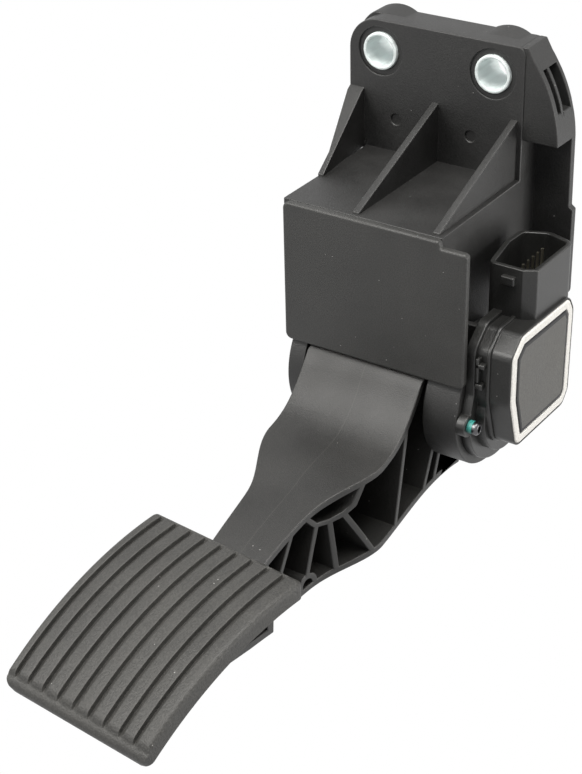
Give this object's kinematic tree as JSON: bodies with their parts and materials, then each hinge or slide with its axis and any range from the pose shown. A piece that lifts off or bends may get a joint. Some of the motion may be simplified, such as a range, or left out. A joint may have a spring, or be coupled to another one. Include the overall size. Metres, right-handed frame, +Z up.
{
  "type": "accelerator pedal sensor",
  "caption": "Hanging accelerator pedal module: moulded bracket with bushed bolt holes, sprung ribbed arm with a grooved foot pad, and a sealed angle sensor with a connector socket.",
  "frame": {"origin": "midway between the two bolt holes, on the rear mounting face", "axes": "+X to the sensor side, -Y from the mounting face towards the driver, +Z up"},
  "size_m": [0.0943, 0.2253, 0.165],
  "materials": {
    "bracket_housing": "black glass-filled nylon, satin",
    "bush_steel": "bright zinc plate",
    "front_cover": "fine-grained black nylon",
    "bearing_plastic": "natural acetal",
    "bumper_rubber": "soft black rubber",
    "seat_plastic": "grey acetal",
    "spring_steel": "oiled spring steel",
    "sensor_housing": "black moulded plastic",
    "gasket_rubber": "silicone",
    "board": "solder-masked laminate",
    "chip": "moulded chip package",
    "pin_brass": "tin plate on brass",
    "sensor_lid": "grained black plastic",
    "lid_sealant": "white cured silicone",
    "screw_steel": "dark plated steel",
    "thread_lock": "teal thread-lock",
    "pedal_arm": "black glass-filled nylon, satin",
    "pedal_pad": "black grained plastic",
    "shaft_steel": "ground steel",
    "carrier_plastic": "black acetal",
    "magnet": "sintered magnet"
  },
  "bodies": {
    "bracket": {"bracket_housing": "bracket_housing", "mount_bush_left": "bush_steel", "mount_bush_right": "bush_steel", "front_cover": "front_cover", "bearing_left": "bearing_plastic", "bearing_right": "bearing_plastic", "idle_stop_bumper": "bumper_rubber", "full_stop_bumper": "bumper_rubber", "spring_upper_seat": "seat_plastic", "return_spring_outer": "spring_steel", "return_spring_inner": "spring_steel", "sensor_housing": "sensor_housing", "sensor_gasket": "gasket_rubber", "circuit_board": "board", "hall_sensors": "chip", "terminal_pins": "pin_brass", "sensor_lid": "sensor_lid", "lid_sealant": "lid_sealant", "sensor_screws": "screw_steel", "thread_lock_rings": "thread_lock"},
    "pedal": {"pedal_arm": "pedal_arm", "pedal_pad": "pedal_pad", "pivot_shaft": "shaft_steel", "magnet_carrier": "carrier_plastic", "magnet": "magnet"},
    "spring_seat": {"spring_lower_seat": "seat_plastic"}
  },
  "joints": [
    {"name": "pedal_pivot", "type": "hinge", "parent": "bracket", "child": "pedal", "pos_m": [0, -0.046, -0.102], "axis": [1, 0, 0], "range_deg": [0, 18], "stiffness_Nm_per_rad": 12, "springref_deg": -14.32},
    {"name": "seat_slide", "type": "slide", "parent": "bracket", "child": "spring_seat", "axis": [0, 0, 1], "range_m": [0, 0.00815], "deforming": ["return_spring_outer", "return_spring_inner"]}
  ],
  "couplings": [
    {"joint": "seat_slide", "follows": "pedal_pivot", "m_per_rad": 0.02589}
  ]
}
